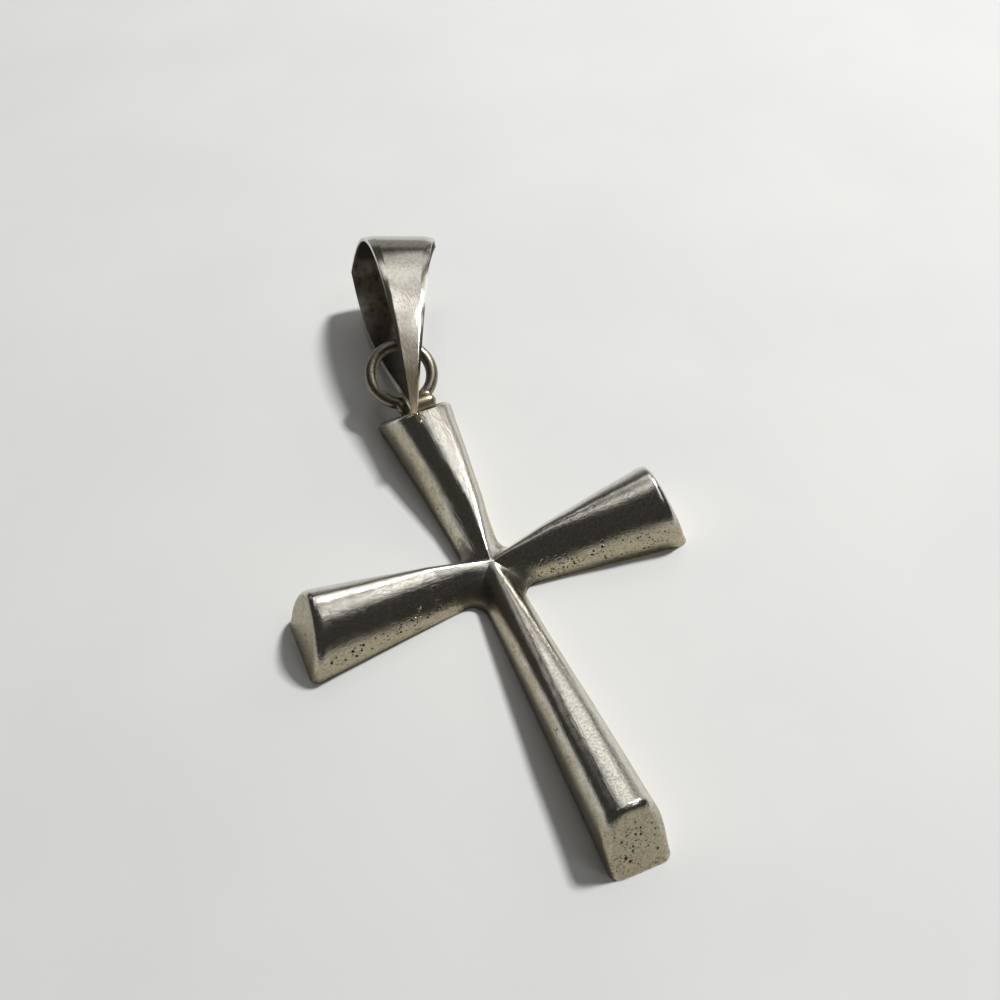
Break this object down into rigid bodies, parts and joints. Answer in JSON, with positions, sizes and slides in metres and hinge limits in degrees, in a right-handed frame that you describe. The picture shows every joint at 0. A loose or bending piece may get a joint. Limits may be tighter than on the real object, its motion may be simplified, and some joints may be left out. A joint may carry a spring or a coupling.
{
  "type": "cross pendant",
  "caption": "Cast cross pendant with flared, domed arms, a soldered ring at the top and a folded sheet bail, lying on its flat back.",
  "frame": {"origin": "on the flat back of the cross, below the point where the arms cross", "axes": "+Y up the cross towards the bail, +Z out of the front, +X to the right arm"},
  "size_m": [0.03, 0.0603, 0.0094],
  "materials": {
    "cast_silver": "worn polish with tarnish",
    "sheet_silver": "dull satin, dark inside"
  },
  "bodies": {
    "root": {"cross": "cast_silver", "bail": "sheet_silver"}
  },
  "joints": []
}
